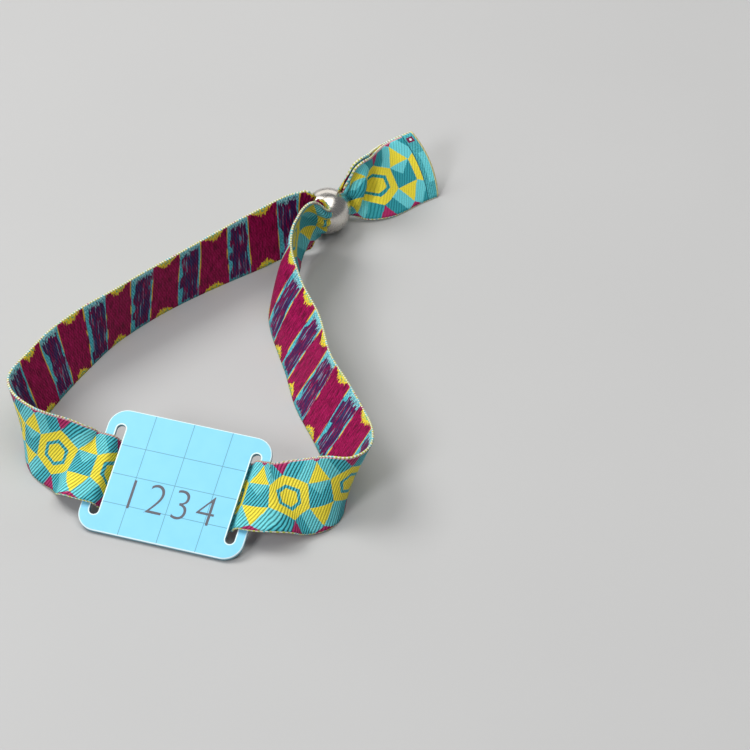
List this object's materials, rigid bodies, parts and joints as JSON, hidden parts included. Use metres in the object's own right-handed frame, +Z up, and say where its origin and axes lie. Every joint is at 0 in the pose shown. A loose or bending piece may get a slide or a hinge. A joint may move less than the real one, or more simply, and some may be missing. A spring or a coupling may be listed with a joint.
{
  "type": "rfid wristband",
  "caption": "Woven ribbon wristband laid in a loop, with a slotted plastic chip card threaded on it and its gathered ends held by a metal locking bead.",
  "frame": {"origin": "middle of the overall box, on the table under the wristband", "axes": "+X to the right as seen from the side that the card faces, +Y from the card towards the bead, +Z up from the table"},
  "size_m": [0.0892, 0.1268, 0.0173],
  "materials": {
    "woven_ribbon": "fine twill weave, satin",
    "card_plastic": "smooth laminated print with a thin pale rim",
    "bead_metal": "polished nickel"
  },
  "bodies": {
    "root": {"band": "woven_ribbon", "tag_card": "card_plastic", "locking_bead": "bead_metal"}
  },
  "joints": []
}
